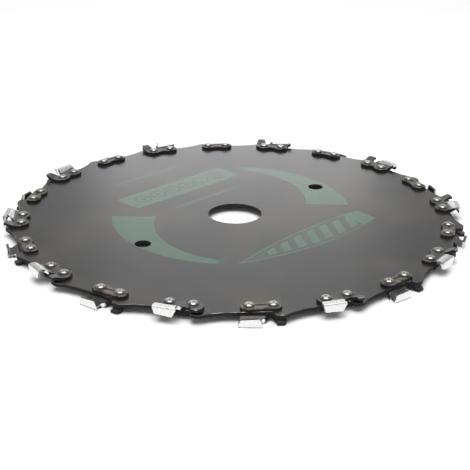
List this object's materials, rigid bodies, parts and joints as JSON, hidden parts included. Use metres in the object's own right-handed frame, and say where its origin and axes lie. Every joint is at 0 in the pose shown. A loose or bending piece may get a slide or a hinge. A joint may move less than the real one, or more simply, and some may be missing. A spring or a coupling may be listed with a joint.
{
  "type": "chain saw tooth cutting disc",
  "caption": "Thin steel cutting disc with saw-chain cutter links riveted around its rim, alternating between its two faces, and a central arbor bore.",
  "frame": {"origin": "centre of the arbor bore, on the disc plate's middle plane", "axes": "+Z along the spindle axis, +X through tooth 01 and one drive pin hole, the teeth lead counter-clockwise seen from +Z"},
  "size_m": [0.2178, 0.2178, 0.0074],
  "materials": {
    "disc_paint": "satin black",
    "cutter_steel": "hard chromed top plate, black oxide body",
    "strap_steel": "black oxide, worn edges",
    "rivet_steel": "bright spun steel"
  },
  "bodies": {
    "root": {"disc_plate": "disc_paint", "cutter_01": "cutter_steel", "cutter_02": "cutter_steel", "cutter_03": "cutter_steel", "cutter_04": "cutter_steel", "cutter_05": "cutter_steel", "cutter_06": "cutter_steel", "cutter_07": "cutter_steel", "cutter_08": "cutter_steel", "cutter_09": "cutter_steel", "cutter_10": "cutter_steel", "cutter_11": "cutter_steel", "cutter_12": "cutter_steel", "cutter_13": "cutter_steel", "cutter_14": "cutter_steel", "cutter_15": "cutter_steel", "cutter_16": "cutter_steel", "cutter_17": "cutter_steel", "cutter_18": "cutter_steel", "cutter_19": "cutter_steel", "cutter_20": "cutter_steel", "tie_strap_01": "strap_steel", "tie_strap_02": "strap_steel", "tie_strap_03": "strap_steel", "tie_strap_04": "strap_steel", "tie_strap_05": "strap_steel", "tie_strap_06": "strap_steel", "tie_strap_07": "strap_steel", "tie_strap_08": "strap_steel", "tie_strap_09": "strap_steel", "tie_strap_10": "strap_steel", "tie_strap_11": "strap_steel", "tie_strap_12": "strap_steel", "tie_strap_13": "strap_steel", "tie_strap_14": "strap_steel", "tie_strap_15": "strap_steel", "tie_strap_16": "strap_steel", "tie_strap_17": "strap_steel", "tie_strap_18": "strap_steel", "tie_strap_19": "strap_steel", "tie_strap_20": "strap_steel", "rivets": "rivet_steel"}
  },
  "joints": []
}
